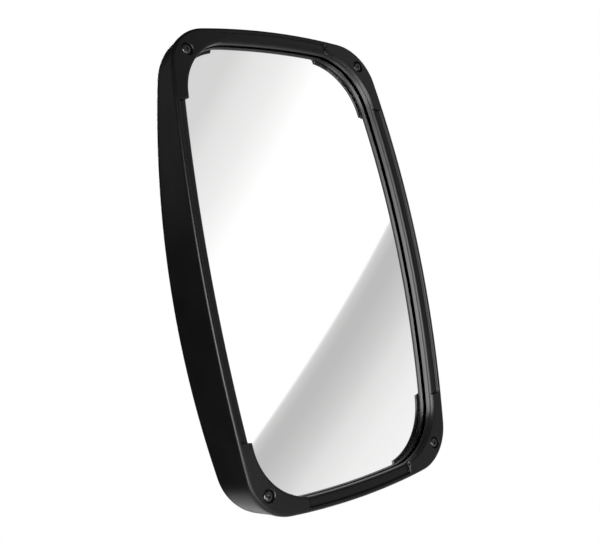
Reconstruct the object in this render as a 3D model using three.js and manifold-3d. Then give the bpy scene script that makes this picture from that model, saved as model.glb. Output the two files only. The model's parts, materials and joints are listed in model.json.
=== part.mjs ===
// Exterior mirror head for a lorry, bus or tractor: a screwed front frame, a fixed glass in a
// clip-in tray, a domed rear housing, and a knuckle that clamps to a vertical arm tube.
// Millimetres. +Z up, the glass faces -Y, +X is to the right of someone who looks at the glass.
// The origin is on the arm tube's axis, halfway up the clamp.
// Every shape is drawn with y = 0 at the frame's front face; the outer group moves it back.
import * as THREE from 'three';
import { mergeVertices } from 'three/addons/utils/BufferGeometryUtils.js';
import Module from 'manifold-3d';

const wasm = await Module();
wasm.setup();

// ---------------------------------------------------------------- driving dimensions

// Outer outline, and the outline of the window: each has shallow arcs joined by tangent corner arcs.
const OUTER = { halfWidth: 131, halfHeight: 218, sideRadius: 1394, endRadius: 791, cornerRadius: 44 };
const WINDOW = { halfWidth: 117.6, halfHeight: 204.4, sideRadius: 1338, endRadius: 956, cornerRadius: 58 };
const HALF_HEIGHT = OUTER.halfHeight;
const SIDE_STEPS = 3;
const CORNER_STEPS = 6;
const END_STEPS = 3;

// The front and the glass bow back together from the middle, as part of a large ball.
const BOW_RADIUS = 3000;

// Front frame: insets from the outer outline, reaches outside the window outline, and depths.
const LIP_INSET = 4.2;
const LEDGE_DEPTH = 2.5;
const ROUND_RADIUS = 5;
const WALL_REACH = 0.75;
const WALL_END_DEPTH = 10.6;
const FRAME_THICKNESS = 2;
const SPIGOT_INSET = 3.9;
const SPIGOT_THICKNESS = 1.2;
const SPIGOT_DEPTH = 11;
const PARTING_DEPTH = 6;

// Raised land over each corner, with its screw.
const LAND_END_X = 62;
const LAND_END_Z = 145.5;
const LAND_EDGE = 1.2;
const LAND_WALL_DEPTH = 3.2;
const LAND_UNDERSIDE = 5.2;
const SCREW_X = 101.4;
const SCREW_Z = 191.9;
const SCREW_RADIUS = 2.45;
const SCREW_HEAD_RADIUS = 4.75;
const SCREW_LENGTH = 22;
const COUNTERBORE_RADIUS = 5.75;
const COUNTERBORE_DEPTH = 3;
const INSERT_RADIUS = 3.5;
const INSERT_LENGTH = 10;

// Rear housing.
const WALL = 3;
const GAP = 0.3;
const SIDE_DRAFT = 0.04;
const BACK_FILLET = 18;
const FILLET_START = 0.06;
const FILLET_END = 1.26;
const APEX_DEPTH = 87;
const PAD_DEPTH = 88;
const PAD_THICKNESS = 8;
const PAD_HALF_WIDTH = 40;
const PAD_HALF_HEIGHT = 36;
const BOSS_RADIUS = 5.4;
const POST_RADIUS = 7;
const RIB_X = 48;
const RIB_HALF_LENGTH = 100;
const RIB_THICKNESS = 2.4;
const DRAIN_X = 60;
const DRAIN_DEPTH = 34;
const CABLE_Z = -70;
const CABLE_HOLE_RADIUS = 8;

// Glass, heater and tray: reaches outside the window outline, and depths.
const GLASS_DEPTH = 12.5;
const GLASS_REACH = 3;
const GLASS_THICKNESS = 2;
const HEATER_REACH = -3;
const HEATER_THICKNESS = 0.6;
const TRAY_RIM_DEPTH = 12;
const TRAY_REACH = 4.8;
const TRAY_POCKET_REACH = 3.4;
const TRAY_FLOOR = 2.4;

// Four posts that carry the tray on rubber buffers.
const POST_X = 75;
const POST_Z = 120;
const CUP_DEPTH = 32;
const CUP_RADIUS = 9;
const CUP_LENGTH = 11.5;
const CUP_FLOOR = 2.6;
const BUFFER_THICKNESS = 4;
const BUFFER_RADIUS = 8;

// Knuckle and clamp.
const TUBE_RADIUS = 12.5;
const TUBE_DEPTH = 140;
const TUBE_TO_PIN = 30;
const BUSH_RADIUS = 15.5;
const BUSH_FLANGE_RADIUS = 19;
const BUSH_FLANGE_THICKNESS = 2;
const BUSH_SPLIT = 0.4;
const CLAMP_BORE_RADIUS = 15.8;
const CLAMP_OUTER_RADIUS = 22;
const CLAMP_HALF_HEIGHT = 22;
const CLAMP_HALF_WIDTH = 34;
const CLAMP_EAR = 9;
const CLAMP_SPLIT = 1;
const CLAMP_BOLT_X = 27.5;
const CLAMP_BOLT_Z = 12;
const NOSE_RADIUS = 9;
const NOSE_HALF_WIDTH = 12;
const LUG_INNER_X = 14.5;
const LUG_OUTER_X = 21.5;
const BRACKET_X = 26;
const BRACKET_Z = 22;
const BRACKET_BASE = 6;
const BACKING_THICKNESS = 3;
const PIN_DEPTH = TUBE_DEPTH - TUBE_TO_PIN;
const PIN_BORE_RADIUS = 5.3;
const BRACKET_HOLE_RADIUS = 3.4;
const CLAMP_HOLE_RADIUS = 4.3;

// Longer than anything that has to be cut through.
const FAR = 300;

// ---------------------------------------------------------------- materials

const BLACK_PLASTIC = { color: 0x17181a, roughness: 0.55, metalness: 0 };
const DARK_RUBBER = { color: 0x1d1d1d, roughness: 0.9, metalness: 0 };
const GREY_PLASTIC = { color: 0x2a2b2d, roughness: 0.7, metalness: 0 };
const BLACK_STEEL = { color: 0x202225, roughness: 0.45, metalness: 0.6 };
const ZINC_STEEL = { color: 0xa9adb2, roughness: 0.35, metalness: 0.9 };
const BRASS = { color: 0xb8923f, roughness: 0.35, metalness: 0.9 };
const MIRROR = { color: 0xe8ecee, roughness: 0.03, metalness: 1 };
const HEATER_FILM = { color: 0xb07a2c, roughness: 0.6, metalness: 0.1 };

// ---------------------------------------------------------------- solids and meshes

function toSolid(geometry) {
  const bare = geometry.clone();
  bare.deleteAttribute('normal');
  bare.deleteAttribute('uv');
  const merged = mergeVertices(bare, 1e-4);
  return new wasm.Manifold(new wasm.Mesh({
    numProp: 3,
    vertProperties: new Float32Array(merged.attributes.position.array),
    triVerts: new Uint32Array(merged.index.array),
  }));
}

function toGeometry(solid) {
  const mesh = solid.getMesh();
  const geometry = new THREE.BufferGeometry();
  geometry.setAttribute('position', new THREE.BufferAttribute(mesh.vertProperties, 3));
  geometry.setIndex(new THREE.BufferAttribute(mesh.triVerts, 1));
  return geometry;
}

function join(first, ...others) {
  return others.reduce((sum, other) => sum.add(other), first);
}

function cut(first, ...others) {
  return others.reduce((rest, other) => rest.subtract(other), first);
}

const head = new THREE.Group();
head.position.y = -TUBE_DEPTH;

function addPart(name, solid, look, place = [0, 0, 0]) {
  const mesh = new THREE.Mesh(toGeometry(solid), new THREE.MeshStandardMaterial(look));
  mesh.name = name;
  mesh.position.set(...place);
  head.add(mesh);
}

// A cylinder from one depth to another, along Y.
function rodY(radius, from, to, x = 0, z = 0, sides = 16) {
  const geometry = new THREE.CylinderGeometry(radius, radius, to - from, sides);
  geometry.translate(x, (from + to) / 2, z);
  return toSolid(geometry);
}

function rodX(radius, from, to, y, z = 0, sides = 20) {
  const geometry = new THREE.CylinderGeometry(radius, radius, to - from, sides);
  geometry.rotateZ(Math.PI / 2);
  geometry.translate((from + to) / 2, y, z);
  return toSolid(geometry);
}

function rodZ(radius, from, to, x = 0, y = 0, sides = 40) {
  const geometry = new THREE.CylinderGeometry(radius, radius, to - from, sides);
  geometry.rotateX(Math.PI / 2);
  geometry.translate(x, y, (from + to) / 2);
  return toSolid(geometry);
}

function block(x0, x1, y0, y1, z0, z1) {
  const geometry = new THREE.BoxGeometry(x1 - x0, y1 - y0, z1 - z0);
  geometry.translate((x0 + x1) / 2, (y0 + y1) / 2, (z0 + z1) / 2);
  return toSolid(geometry);
}

// A plate with round corners, from one depth to another.
function roundedPlate(halfX, halfZ, radius, from, to) {
  const shape = new THREE.Shape();
  shape.moveTo(-halfX + radius, -halfZ);
  shape.lineTo(halfX - radius, -halfZ);
  shape.absarc(halfX - radius, -halfZ + radius, radius, -Math.PI / 2, 0);
  shape.absarc(halfX - radius, halfZ - radius, radius, 0, Math.PI / 2);
  shape.absarc(-halfX + radius, halfZ - radius, radius, Math.PI / 2, Math.PI);
  shape.absarc(-halfX + radius, -halfZ + radius, radius, Math.PI, 1.5 * Math.PI);
  const geometry = new THREE.ExtrudeGeometry(shape, {
    depth: to - from,
    bevelEnabled: false,
    curveSegments: 3,
  });
  geometry.rotateX(Math.PI / 2);
  geometry.translate(0, to, 0);
  return toSolid(geometry);
}

// Closes a surface given as rings of points with equal counts. A tube of rings is capped at both
// ends by a fan about its middle point, or joined end to end when `loop` is true.
function skin(rings, loop = false) {
  const count = rings[0].length;
  const positions = rings.flat(2);
  const indices = [];
  const bands = loop ? rings.length : rings.length - 1;
  for (let band = 0; band < bands; band += 1) {
    const here = band * count;
    const next = ((band + 1) % rings.length) * count;
    for (let i = 0; i < count; i += 1) {
      const j = (i + 1) % count;
      indices.push(here + i, here + j, next + j);
      indices.push(here + i, next + j, next + i);
    }
  }
  if (!loop) {
    capRing(rings[0], 0, positions, indices, true);
    capRing(rings.at(-1), (rings.length - 1) * count, positions, indices, false);
  }
  if (signedVolume(positions, indices) < 0) {
    indices.reverse();
  }
  const geometry = new THREE.BufferGeometry();
  geometry.setAttribute('position', new THREE.Float32BufferAttribute(positions, 3));
  geometry.setIndex(indices);
  return toSolid(geometry);
}

function capRing(ring, first, positions, indices, flip) {
  const middle = [0, 1, 2].map((k) => ring.reduce((sum, p) => sum + p[k], 0) / ring.length);
  const centre = positions.length / 3;
  positions.push(...middle);
  for (let i = 0; i < ring.length; i += 1) {
    const j = (i + 1) % ring.length;
    const pair = flip ? [first + j, first + i] : [first + i, first + j];
    indices.push(centre, ...pair);
  }
}

function signedVolume(positions, indices) {
  const a = new THREE.Vector3();
  const b = new THREE.Vector3();
  const c = new THREE.Vector3();
  let volume = 0;
  for (let i = 0; i < indices.length; i += 3) {
    a.fromArray(positions, indices[i] * 3);
    b.fromArray(positions, indices[i + 1] * 3);
    c.fromArray(positions, indices[i + 2] * 3);
    volume += a.dot(b.cross(c)) / 6;
  }
  return volume;
}

// ---------------------------------------------------------------- the outlines

// The centre of a corner arc that is tangent inside both big arcs.
function cornerCentre({ halfWidth, halfHeight, sideRadius, endRadius, cornerRadius }) {
  const sideReach = sideRadius - cornerRadius;
  const endReach = endRadius - cornerRadius;
  const sideX = halfWidth - sideRadius;
  const endZ = halfHeight - endRadius;
  const span = Math.hypot(sideX, endZ);
  const along = (sideReach ** 2 - endReach ** 2 + span ** 2) / (2 * span);
  const across = Math.sqrt(sideReach ** 2 - along ** 2);
  const ux = -sideX / span;
  const uz = endZ / span;
  return [sideX + ux * along - uz * across, uz * along + ux * across];
}

// One quarter of an outline as points with their outward normals, from the middle of the right
// side to the middle of the top.
function quarterOutline(shape) {
  const [cornerX, cornerZ] = cornerCentre(shape);
  const { sideRadius, endRadius, cornerRadius } = shape;
  const sideX = shape.halfWidth - sideRadius;
  const endZ = shape.halfHeight - endRadius;
  const sideTurn = Math.atan2(cornerZ, cornerX - sideX);
  const endTurn = Math.atan2(cornerZ - endZ, cornerX);
  const arcs = [
    { x: sideX, z: 0, radius: sideRadius, from: 0, to: sideTurn, steps: SIDE_STEPS },
    { x: cornerX, z: cornerZ, radius: cornerRadius, from: sideTurn, to: endTurn, steps: CORNER_STEPS },
    { x: 0, z: endZ, radius: endRadius, from: endTurn, to: Math.PI / 2, steps: END_STEPS },
  ];
  return arcs.flatMap(({ x, z, radius, from, to, steps }) =>
    Array.from({ length: steps }, (_, step) => {
      const turn = from + ((to - from) * step) / steps;
      const nx = Math.cos(turn);
      const nz = Math.sin(turn);
      return { x: x + radius * nx, z: z + radius * nz, nx, nz };
    }));
}

// A whole outline, anticlockwise from the middle of the right side.
function wholeOutline(shape) {
  const quarter = quarterOutline(shape);
  const top = { x: 0, z: shape.halfHeight, nx: 0, nz: 1 };
  const right = [...quarter, top];
  const left = right.slice(1, -1).reverse().map((p) => ({ ...p, x: -p.x, nx: -p.nx }));
  const upper = [...right, ...left];
  const lower = upper.map((p) => ({ x: -p.x, z: -p.z, nx: -p.nx, nz: -p.nz }));
  return [...upper, ...lower];
}

const OUTER_RING = wholeOutline(OUTER);
const WINDOW_RING = wholeOutline(WINDOW);

// How far the bowed front lies behind its middle.
function bow(x, z) {
  return (x * x + z * z) / (2 * BOW_RADIUS);
}

// An outline moved inwards, at a depth behind the bowed front.
function bowedRing(outline, inset, depth) {
  return outline.map((p) => {
    const x = p.x - inset * p.nx;
    const z = p.z - inset * p.nz;
    return [x, depth + bow(x, z), z];
  });
}

// A ring of material with the section given as [outline, inset, depth].
function bowedBand(section) {
  return skin(section.map(([outline, inset, depth]) => bowedRing(outline, inset, depth)), true);
}

const CORNER_SIGNS = [[-1, 1], [1, 1], [-1, -1], [1, -1]];

const screwBow = bow(SCREW_X, SCREW_Z);

// ---------------------------------------------------------------- front frame

// The lip, the sunken ledge, the rounded wall of the window and the spigot inside the housing.
function frameSection() {
  const roundX = -WALL_REACH - ROUND_RADIUS;
  const roundY = LEDGE_DEPTH + ROUND_RADIUS;
  const inner = ROUND_RADIUS - FRAME_THICKNESS;
  const round = (radius, turns) => turns.map((turn) =>
    [WINDOW_RING, roundX + radius * Math.sin(turn), roundY - radius * Math.cos(turn)]);
  const underside = LEDGE_DEPTH + FRAME_THICKNESS;
  return [
    [OUTER_RING, 0, PARTING_DEPTH],
    [OUTER_RING, 0, 2.4],
    [OUTER_RING, 0.5, 1],
    [OUTER_RING, 1.3, 0.3],
    [OUTER_RING, 2.4, 0],
    [OUTER_RING, LIP_INSET - 0.6, 0],
    [OUTER_RING, LIP_INSET, 0.5],
    [OUTER_RING, LIP_INSET + 0.3, LEDGE_DEPTH - 0.4],
    [OUTER_RING, LIP_INSET + 1, LEDGE_DEPTH],
    ...round(ROUND_RADIUS, [0, 0.45, 0.9, 1.3]),
    [WINDOW_RING, -WALL_REACH, roundY + 0.8],
    [WINDOW_RING, -WALL_REACH, WALL_END_DEPTH],
    [WINDOW_RING, -WALL_REACH - FRAME_THICKNESS, WALL_END_DEPTH],
    ...round(inner, [1.3, 0.6, 0]),
    [OUTER_RING, SPIGOT_INSET + SPIGOT_THICKNESS + 0.2, underside],
    [OUTER_RING, SPIGOT_INSET + SPIGOT_THICKNESS, SPIGOT_DEPTH],
    [OUTER_RING, SPIGOT_INSET, SPIGOT_DEPTH],
    [OUTER_RING, SPIGOT_INSET - 0.2, PARTING_DEPTH],
  ];
}

// The raised land, drawn all round and then kept in the corners only.
function cornerLands() {
  const band = bowedBand([
    [OUTER_RING, LIP_INSET - 1.2, 0],
    [WINDOW_RING, -LAND_EDGE, 0],
    [WINDOW_RING, -0.3 * LAND_EDGE, 0.3 * LAND_EDGE],
    [WINDOW_RING, 0, LAND_EDGE],
    [WINDOW_RING, 0, LAND_WALL_DEPTH],
    [WINDOW_RING, -2.6, LAND_WALL_DEPTH + 1],
    [WINDOW_RING, -3.4, LAND_UNDERSIDE],
    [OUTER_RING, LIP_INSET - 1.2, LAND_UNDERSIDE],
  ]);
  return CORNER_SIGNS.map(([sx, sz]) => {
    const [x0, x1] = [sx * LAND_END_X, sx * FAR].sort((a, b) => a - b);
    const [z0, z1] = [sz * LAND_END_Z, sz * FAR].sort((a, b) => a - b);
    return band.intersect(block(x0, x1, -FAR, FAR, z0, z1));
  });
}

function frontFrame() {
  const holes = CORNER_SIGNS.flatMap(([sx, sz]) => [
    rodY(COUNTERBORE_RADIUS, -FAR, COUNTERBORE_DEPTH + screwBow, sx * SCREW_X, sz * SCREW_Z, 20),
    rodY(SCREW_RADIUS + 0.45, -FAR, FAR, sx * SCREW_X, sz * SCREW_Z, 12),
    rodY(BOSS_RADIUS + 0.4, LAND_UNDERSIDE + screwBow, FAR, sx * SCREW_X, sz * SCREW_Z, 20),
  ]);
  return cut(join(bowedBand(frameSection()), ...cornerLands()), ...holes);
}

// Button-head screw with a hexagon socket, drawn from the bottom of its counterbore.
function frameScrew() {
  const under = COUNTERBORE_DEPTH + screwBow - GAP;
  const profile = [
    [0, under - 2.4],
    [2.6, under - 2.4],
    [4, under - 1.8],
    [SCREW_HEAD_RADIUS, under - 0.8],
    [SCREW_HEAD_RADIUS, under],
    [SCREW_RADIUS, under],
    [SCREW_RADIUS, under + SCREW_LENGTH - 4],
    [SCREW_RADIUS - 0.55, under + SCREW_LENGTH - 3],
    [0, under + SCREW_LENGTH - 3],
  ].map(([radius, depth]) => new THREE.Vector2(radius, depth));
  const socket = rodY(1.73, -FAR, under - 0.7, 0, 0, 6);
  return cut(toSolid(new THREE.LatheGeometry(profile, 16)), socket);
}

const bossFront = LAND_UNDERSIDE + GAP + screwBow;

function threadedInsert() {
  const front = bossFront + 0.5;
  const bore = rodY(SCREW_RADIUS + 0.35, -FAR, FAR, 0, 0, 10);
  return cut(rodY(INSERT_RADIUS, front, front + INSERT_LENGTH, 0, 0, 10), bore);
}

// ---------------------------------------------------------------- rear housing

// Depth at which the side wall starts to turn into the back, at a given height.
function sideDepth(z) {
  const t = z / 100;
  return 54.5 - 5.6 * t - 4.1 * t ** 2 + 0.09 * t ** 3;
}

// The housing's outer body, or the hollow in it when `wall` is its thickness. The back is a dome
// whose rings change from the outline's shape to an oval towards the middle.
function housingBody(wall, front) {
  const rings = [];
  const sideInset = (depth) => 0.2 + wall + SIDE_DRAFT * (depth - PARTING_DEPTH);
  (wall ? [0, 0.5] : [0, 0.33, 0.67]).forEach((part) => {
    rings.push(OUTER_RING.map((p) => {
      const start = front + bow(p.x, p.z);
      const depth = start + (sideDepth(p.z) - (wall ? 1 : 0) - start) * part;
      const inset = sideInset(Math.max(depth, PARTING_DEPTH));
      return [p.x - inset * p.nx, depth, p.z - inset * p.nz];
    }));
  });
  const radius = BACK_FILLET - wall;
  const turns = wall ? 3 : 4;
  for (let step = 0; step <= turns; step += 1) {
    const angle = FILLET_START + ((FILLET_END - FILLET_START) * step) / turns;
    rings.push(OUTER_RING.map((p) => {
      const start = sideDepth(p.z);
      const inset = sideInset(start) + radius * (Math.cos(FILLET_START) - Math.cos(angle));
      const depth = start + radius * (Math.sin(angle) - Math.sin(FILLET_START));
      return [p.x - inset * p.nx, depth, p.z - inset * p.nz];
    }));
  }
  const edge = rings.at(-1);
  const edgeX = Math.max(...edge.map(([x]) => x));
  const edgeZ = Math.max(...edge.map(([, , z]) => z));
  const apex = APEX_DEPTH - wall;
  (wall ? [0.75, 0.45, 0.22] : [0.82, 0.6, 0.35, 0.12]).forEach((scale) => {
    const mix = Math.min(1, 1.5 * (1 - scale));
    rings.push(edge.map(([x, y, z]) => {
      const turn = Math.atan2(z / edgeZ, x / edgeX);
      const ovalX = edgeX * Math.cos(turn);
      const ovalZ = edgeZ * Math.sin(turn);
      return [
        (x + (ovalX - x) * mix) * scale,
        apex - (apex - y) * scale ** 2,
        (z + (ovalZ - z) * mix) * scale,
      ];
    }));
  });
  return skin(rings);
}

function rearHousing() {
  const outside = housingBody(0, PARTING_DEPTH + GAP);
  const hollow = housingBody(WALL, PARTING_DEPTH - 1);
  const padFront = PAD_DEPTH - PAD_THICKNESS;
  const pad = join(
    roundedPlate(PAD_HALF_WIDTH, PAD_HALF_HEIGHT, 8, PAD_DEPTH - 5, PAD_DEPTH),
    roundedPlate(PAD_HALF_WIDTH - 2, PAD_HALF_HEIGHT - 2, 6, padFront, PAD_DEPTH - 4),
  );
  const bosses = CORNER_SIGNS.map(([sx, sz]) =>
    rodY(BOSS_RADIUS, bossFront, FAR, sx * SCREW_X, sz * SCREW_Z, 20));
  const postFront = CUP_DEPTH + BUFFER_THICKNESS + 2 * GAP;
  const posts = CORNER_SIGNS.map(([sx, sz]) =>
    rodY(POST_RADIUS, postFront, FAR, sx * POST_X, sz * POST_Z));
  const ribs = [-1, 1].map((side) => block(
    side * RIB_X - RIB_THICKNESS / 2,
    side * RIB_X + RIB_THICKNESS / 2,
    PAD_DEPTH - 22,
    PAD_DEPTH,
    -RIB_HALF_LENGTH,
    RIB_HALF_LENGTH,
  ));
  const trim = housingBody(WALL / 2, PARTING_DEPTH - 3);
  const inside = [...bosses, ...posts, ...ribs].map((one) => one.intersect(trim));
  const screwHoles = CORNER_SIGNS.flatMap(([sx, sz]) => [
    rodY(INSERT_RADIUS + GAP, -FAR, bossFront + INSERT_LENGTH + 1, sx * SCREW_X, sz * SCREW_Z, 12),
    rodY(SCREW_RADIUS + 0.35, -FAR, bossFront + SCREW_LENGTH - 4, sx * SCREW_X, sz * SCREW_Z, 12),
    rodY(2.4, -FAR, CUP_DEPTH + 18, sx * POST_X, sz * POST_Z, 12),
  ]);
  const boltHoles = CORNER_SIGNS.map(([sx, sz]) =>
    rodY(BRACKET_HOLE_RADIUS, padFront - 5, FAR, sx * BRACKET_X, sz * BRACKET_Z, 12));
  const cableHole = rodY(CABLE_HOLE_RADIUS, PAD_DEPTH - 30, FAR, 0, CABLE_Z, 20);
  const drains = [-DRAIN_X, DRAIN_X].map((x) => rodZ(3, -FAR, 20 - HALF_HEIGHT, x, DRAIN_DEPTH, 12));
  const shell = join(cut(outside, hollow), pad, ...inside);
  return cut(shell, ...screwHoles, ...boltHoles, cableHole, ...drains);
}

// Rubber grommet in the cable hole: a flange on each side of the wall and a pierced nipple.
function cableGrommet() {
  const edgeZ = HALF_HEIGHT - 14.3;
  const edgeDepth = sideDepth(-edgeZ) + 16;
  const wallDepth = APEX_DEPTH - (APEX_DEPTH - edgeDepth) * (CABLE_Z / edgeZ) ** 2;
  const profile = [
    [2.5, wallDepth - 7],
    [10, wallDepth - 7],
    [10, wallDepth - 4.4],
    [CABLE_HOLE_RADIUS - 0.4, wallDepth - 4.4],
    [CABLE_HOLE_RADIUS - 0.4, wallDepth + 1.6],
    [10.5, wallDepth + 1.6],
    [10.5, wallDepth + 3.4],
    [5.5, wallDepth + 9],
    [2.5, wallDepth + 9],
    [2.5, wallDepth - 7],
  ].map(([radius, depth]) => new THREE.Vector2(radius, depth));
  return toSolid(new THREE.LatheGeometry(profile, 20));
}

// ---------------------------------------------------------------- glass, heater and tray

// A bowed plate whose edge lies outside the window outline by `reach`.
function bowedPlate(reach, front, back) {
  const face = (depth) => [0.25, 0.5, 0.75, 1].map((scale) =>
    bowedRing(WINDOW_RING, -reach, 0).map(([x, , z]) =>
      [x * scale, depth + bow(x * scale, z * scale), z * scale]));
  return skin([...face(front), ...face(back).reverse()]);
}

const glassBack = GLASS_DEPTH + GLASS_THICKNESS;
const heaterBack = glassBack + GAP + HEATER_THICKNESS;
const trayFloor = heaterBack + GAP;

function glassHolder() {
  const body = bowedPlate(TRAY_REACH, TRAY_RIM_DEPTH, trayFloor + TRAY_FLOOR);
  const pocket = bowedPlate(TRAY_POCKET_REACH, TRAY_RIM_DEPTH - 5, trayFloor);
  const cups = CORNER_SIGNS.map(([sx, sz]) =>
    rodY(CUP_RADIUS, CUP_DEPTH - CUP_LENGTH, CUP_DEPTH, sx * POST_X, sz * POST_Z));
  const recesses = CORNER_SIGNS.flatMap(([sx, sz]) => [
    rodY(5.2, 0, CUP_DEPTH - CUP_FLOOR, sx * POST_X, sz * POST_Z),
    rodY(2.7, 0, CUP_DEPTH + 1, sx * POST_X, sz * POST_Z, 12),
  ]);
  return cut(join(body, ...cups), pocket, ...recesses);
}

function mirrorGlass() {
  return bowedPlate(GLASS_REACH, GLASS_DEPTH, glassBack);
}

function heaterPad() {
  return bowedPlate(HEATER_REACH, glassBack + GAP, heaterBack);
}

// Pan-head screw with a cross slot; its head sits under the heater, in the tray's cup.
function holderScrew() {
  const under = CUP_DEPTH - CUP_FLOOR - GAP;
  const shank = rodY(2.1, under - 0.5, under + 19, 0, 0, 10);
  const slots = [
    block(-0.4, 0.4, under - 3, under - 1.2, -2.2, 2.2),
    block(-2.2, 2.2, under - 3, under - 1.2, -0.4, 0.4),
  ];
  return cut(join(rodY(4, under - 2.2, under), shank), ...slots);
}

function buffer() {
  const from = CUP_DEPTH + GAP;
  const ring = rodY(BUFFER_RADIUS, from, from + BUFFER_THICKNESS);
  return cut(ring, rodY(2.7, 0, FAR, 0, 0, 12));
}

// ---------------------------------------------------------------- knuckle and clamp

function cornerHoles(radius, x, z) {
  return CORNER_SIGNS.map(([sx, sz]) => rodY(radius, 0, FAR, sx * x, sz * z, 12));
}

const backingFront = PAD_DEPTH - PAD_THICKNESS - GAP - BACKING_THICKNESS;
const bracketFront = PAD_DEPTH + GAP;

function backingPlate() {
  const plate = roundedPlate(37, 33, 5, backingFront, backingFront + BACKING_THICKNESS);
  return cut(plate, ...cornerHoles(BRACKET_HOLE_RADIUS, BRACKET_X, BRACKET_Z));
}

// Base plate with two lugs for the tilt bolt.
function pivotBracket() {
  const base = roundedPlate(38, 34, 6, bracketFront, bracketFront + BRACKET_BASE);
  const lugs = [-1, 1].flatMap((side) => {
    const [x0, x1] = [side * LUG_INNER_X, side * LUG_OUTER_X].sort((a, b) => a - b);
    const foot = NOSE_RADIUS + 4;
    return [
      rodX(NOSE_RADIUS, x0, x1, PIN_DEPTH, 0, 24),
      block(x0, x1, bracketFront + 3, PIN_DEPTH, -NOSE_RADIUS, NOSE_RADIUS),
      block(x0, x1, bracketFront + 3, bracketFront + BRACKET_BASE + 3, -foot, foot),
    ];
  });
  const holes = cornerHoles(BRACKET_HOLE_RADIUS, BRACKET_X, BRACKET_Z);
  return cut(join(base, ...lugs), ...holes, rodX(PIN_BORE_RADIUS, -FAR, FAR, PIN_DEPTH));
}

// Hexagon bolt along Y, with a chamfered head: the head lies before `under`.
function hexBolt(across, headThickness, radius, under, end) {
  return join(
    chamferedHex(across, under - headThickness, under, under - headThickness),
    rodY(radius, under - 1, end, 0, 0, 12),
  );
}

function hexNut(across, bore, from, thickness) {
  return cut(
    chamferedHex(across, from, from + thickness, from + thickness),
    rodY(bore, 0, FAR, 0, 0, 12),
  );
}

// A hexagon whose corners are turned down by a cone at one of its two faces.
function chamferedHex(across, from, to, chamferedFace) {
  const corner = across / Math.sqrt(3);
  const slope = chamferedFace === from ? 1 : -1;
  const profile = [[0, 0], [across * 0.48, 0], [corner * 1.3, across * 0.2], [corner * 1.3, 20], [0, 20]]
    .map(([radius, depth]) => new THREE.Vector2(radius, chamferedFace + slope * depth));
  const cone = toSolid(new THREE.LatheGeometry(slope > 0 ? profile : profile.reverse(), 18));
  return rodY(corner, from, to, 0, 0, 6).intersect(cone);
}

function depthRange(side, near, far) {
  return [TUBE_DEPTH + side * near, TUBE_DEPTH + side * far].sort((a, b) => a - b);
}

// A clamp half, drawn about the tube's axis; `side` is -1 towards the head.
function clampHalf(side) {
  const body = join(
    rodZ(CLAMP_OUTER_RADIUS, -CLAMP_HALF_HEIGHT, CLAMP_HALF_HEIGHT, 0, TUBE_DEPTH),
    block(-CLAMP_HALF_WIDTH, CLAMP_HALF_WIDTH, ...depthRange(side, CLAMP_SPLIT, CLAMP_EAR),
      -CLAMP_HALF_HEIGHT, CLAMP_HALF_HEIGHT),
  );
  const half = block(-FAR, FAR, ...depthRange(side, CLAMP_SPLIT, FAR), -FAR, FAR);
  const bore = rodZ(CLAMP_BORE_RADIUS, -FAR, FAR, 0, TUBE_DEPTH);
  return cut(body.intersect(half), bore, ...cornerHoles(CLAMP_HOLE_RADIUS, CLAMP_BOLT_X, CLAMP_BOLT_Z));
}

// The front half also carries the nose that turns on the tilt bolt.
function clampBlock() {
  const nose = join(
    rodX(NOSE_RADIUS, -NOSE_HALF_WIDTH, NOSE_HALF_WIDTH, PIN_DEPTH, 0, 24),
    block(-NOSE_HALF_WIDTH, NOSE_HALF_WIDTH, PIN_DEPTH, TUBE_DEPTH - CLAMP_BORE_RADIUS - 2,
      -NOSE_RADIUS, NOSE_RADIUS),
  );
  return cut(join(clampHalf(-1), nose), rodX(PIN_BORE_RADIUS, -FAR, FAR, PIN_DEPTH));
}

// Half of the split bush that grips the arm tube, with a flange at each end.
function bushHalf(side) {
  const tall = CLAMP_HALF_HEIGHT + GAP;
  const end = tall + BUSH_FLANGE_THICKNESS;
  const profile = [
    [TUBE_RADIUS, -end],
    [BUSH_FLANGE_RADIUS, -end],
    [BUSH_FLANGE_RADIUS, -tall],
    [BUSH_RADIUS, -tall],
    [BUSH_RADIUS, tall],
    [BUSH_FLANGE_RADIUS, tall],
    [BUSH_FLANGE_RADIUS, end],
    [TUBE_RADIUS, end],
    [TUBE_RADIUS, -end],
  ].map(([radius, height]) => new THREE.Vector2(radius, height));
  const geometry = new THREE.LatheGeometry(profile, 40);
  geometry.rotateX(Math.PI / 2);
  geometry.translate(0, TUBE_DEPTH, 0);
  const half = block(-FAR, FAR, ...depthRange(side, BUSH_SPLIT, FAR), -FAR, FAR);
  return toSolid(geometry).intersect(half);
}

const TILT_BOLT_RADIUS = 4.9;
const washerInner = LUG_OUTER_X + GAP;
const washerOuter = washerInner + 1.5;
const tiltHeadInner = washerOuter + GAP;

function tiltBolt() {
  return join(
    rodX(8.9, -tiltHeadInner - 6.4, -tiltHeadInner, PIN_DEPTH, 0, 6),
    rodX(TILT_BOLT_RADIUS, -tiltHeadInner - 1, tiltHeadInner + 10, PIN_DEPTH),
  );
}

// A washer, disc or nut on the tilt bolt.
function ringX(outer, bore, from, to, sides = 20) {
  return cut(rodX(outer, from, to, PIN_DEPTH, 0, sides), rodX(bore, -FAR, FAR, PIN_DEPTH));
}

// ---------------------------------------------------------------- assembly

addPart('front_frame', frontFrame(), BLACK_PLASTIC);
addPart('rear_housing', rearHousing(), BLACK_PLASTIC);
addPart('mirror_glass', mirrorGlass(), MIRROR);
addPart('heater_pad', heaterPad(), HEATER_FILM);
addPart('glass_holder', glassHolder(), BLACK_PLASTIC);
addPart('cable_grommet', cableGrommet(), DARK_RUBBER, [0, 0, CABLE_Z]);

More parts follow.
